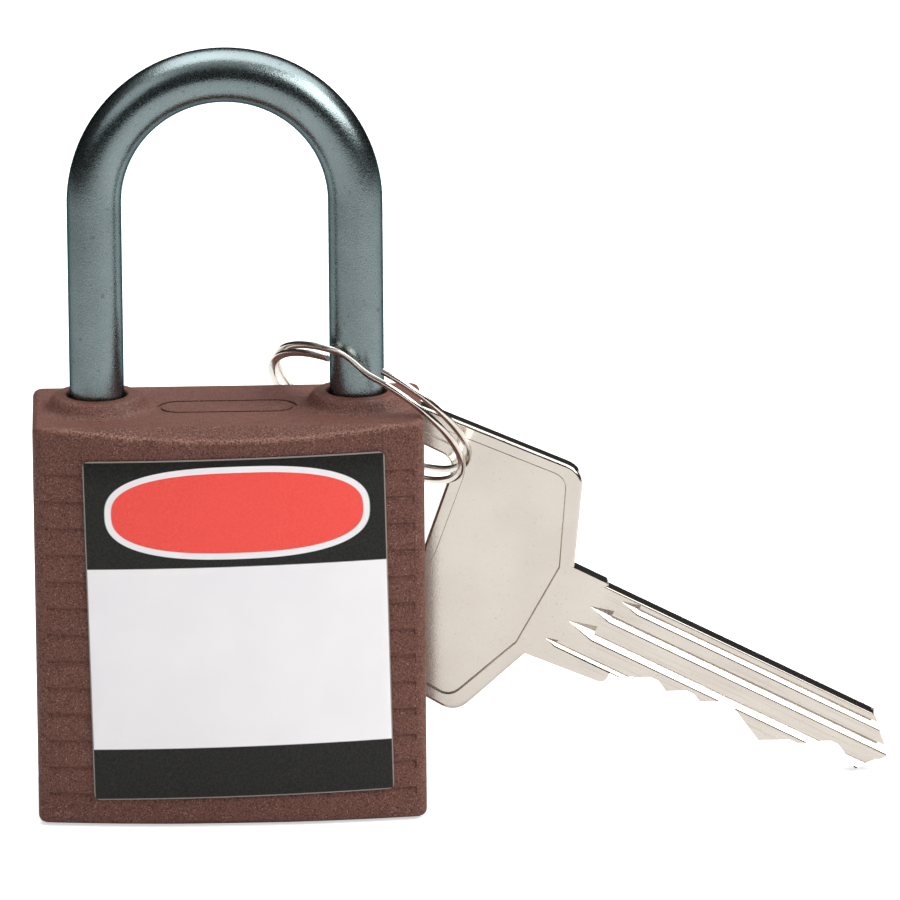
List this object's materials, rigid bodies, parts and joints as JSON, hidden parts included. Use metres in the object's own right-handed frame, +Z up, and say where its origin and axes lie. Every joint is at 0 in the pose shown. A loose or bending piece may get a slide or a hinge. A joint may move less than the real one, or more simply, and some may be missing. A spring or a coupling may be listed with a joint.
{
  "type": "safety padlock",
  "caption": "Compact nylon-bodied lockout padlock with an anodised shackle, a pin tumbler cylinder in its base, a bare front label and its key on a split ring.",
  "frame": {"origin": "middle of the body's flat top face, halfway between the two shackle legs", "axes": "+Z up along the shackle legs, +X to the right from the heel leg to the toe leg as seen from the label side, +Y to the back"},
  "size_m": [0.0753, 0.0206, 0.0678],
  "materials": {
    "nylon": "fine sparkling grain, satin",
    "label": "printed vinyl, semi-gloss",
    "anodised_shackle": "satin anodised, blue-grey",
    "spring_wire": "drawn wire",
    "hard_steel": "ground",
    "cast_cam": "sintered",
    "brass": "machined",
    "polished_nickel": "polished",
    "key_nickel": "satin nickel plate, slightly warm"
  },
  "bodies": {
    "housing": {"body": "nylon", "front_label": "label", "cylinder_shell": "brass", "chamber_cover": "brass", "cylinder_screw": "hard_steel", "retaining_ball": "hard_steel"},
    "shackle": {"shackle": "anodised_shackle", "shackle_spring": "spring_wire"},
    "plug": {"plug": "brass", "plug_clip": "spring_wire", "locking_cam": "cast_cam"},
    "locking_ball": {"locking_ball": "hard_steel"},
    "key_pin_1": {"key_pin_1": "brass"},
    "key_pin_2": {"key_pin_2": "brass"},
    "key_pin_3": {"key_pin_3": "brass"},
    "key_pin_4": {"key_pin_4": "brass"},
    "key_pin_5": {"key_pin_5": "brass"},
    "key_pin_6": {"key_pin_6": "brass"},
    "driver_pin_1": {"driver_pin_1": "hard_steel", "pin_spring_1": "spring_wire"},
    "driver_pin_2": {"driver_pin_2": "hard_steel", "pin_spring_2": "spring_wire"},
    "driver_pin_3": {"driver_pin_3": "hard_steel", "pin_spring_3": "spring_wire"},
    "driver_pin_4": {"driver_pin_4": "hard_steel", "pin_spring_4": "spring_wire"},
    "driver_pin_5": {"driver_pin_5": "hard_steel", "pin_spring_5": "spring_wire"},
    "driver_pin_6": {"driver_pin_6": "hard_steel", "pin_spring_6": "spring_wire"},
    "ring": {"split_ring": "polished_nickel"},
    "key": {"key": "key_nickel"}
  },
  "joints": [
    {"name": "shackle_lift", "type": "slide", "parent": "housing", "child": "shackle", "axis": [0, 0, 1], "range_m": [0, 0.0104], "deforming": ["shackle_spring"]},
    {"name": "plug_turn", "type": "hinge", "parent": "housing", "child": "plug", "pos_m": [0, 0, -0.022], "axis": [0, 0, 1], "range_deg": [0, 90]},
    {"name": "locking_ball_slide", "type": "slide", "parent": "housing", "child": "locking_ball", "axis": [1, 0, 0], "range_m": [0, 0.00135]},
    {"name": "key_pin_1_slide", "type": "slide", "parent": "plug", "child": "key_pin_1", "axis": [-1, 0, 0], "range_m": [0, 0.0027]},
    {"name": "key_pin_2_slide", "type": "slide", "parent": "plug", "child": "key_pin_2", "axis": [-1, 0, 0], "range_m": [0, 0.0024]},
    {"name": "key_pin_3_slide", "type": "slide", "parent": "plug", "child": "key_pin_3", "axis": [-1, 0, 0], "range_m": [0, 0.0018]},
    {"name": "key_pin_4_slide", "type": "slide", "parent": "plug", "child": "key_pin_4", "axis": [-1, 0, 0], "range_m": [0, 0.0036]},
    {"name": "key_pin_5_slide", "type": "slide", "parent": "plug", "child": "key_pin_5", "axis": [-1, 0, 0], "range_m": [0, 0.0024]},
    {"name": "key_pin_6_slide", "type": "slide", "parent": "plug", "child": "key_pin_6", "axis": [-1, 0, 0], "range_m": [0, 0.001]},
    {"name": "driver_pin_1_slide", "type": "slide", "parent": "housing", "child": "driver_pin_1", "axis": [1, 0, 0], "range_m": [0, 0.0009], "deforming": ["pin_spring_1"]},
    {"name": "driver_pin_2_slide", "type": "slide", "parent": "housing", "child": "driver_pin_2", "axis": [1, 0, 0], "range_m": [0, 0.0009], "deforming": ["pin_spring_2"]},
    {"name": "driver_pin_3_slide", "type": "slide", "parent": "housing", "child": "driver_pin_3", "axis": [1, 0, 0], "range_m": [0, 0.0009], "deforming": ["pin_spring_3"]},
    {"name": "driver_pin_4_slide", "type": "slide", "parent": "housing", "child": "driver_pin_4", "axis": [1, 0, 0], "range_m": [0, 0.0009], "deforming": ["pin_spring_4"]},
    {"name": "driver_pin_5_slide", "type": "slide", "parent": "housing", "child": "driver_pin_5", "axis": [1, 0, 0], "range_m": [0, 0.0009], "deforming": ["pin_spring_5"]},
    {"name": "driver_pin_6_slide", "type": "slide", "parent": "housing", "child": "driver_pin_6", "axis": [1, 0, 0], "range_m": [0, 0.0009], "deforming": ["pin_spring_6"]},
    {"name": "ring_swing", "type": "hinge", "parent": "housing", "child": "ring", "pos_m": [0.01291, -0.00446, 0.00379], "axis": [1, 0, 0], "range_deg": [0, 70]},
    {"name": "key_swing", "type": "hinge", "parent": "ring", "child": "key", "pos_m": [0.0161, 0.00845, -0.0088], "axis": [0.0576, 0.9983, 0], "range_deg": [-120, 50]}
  ],
  "couplings": [
    {"joint": "locking_ball_slide", "follows": "plug_turn", "m_per_rad": 0.00085944}
  ]
}
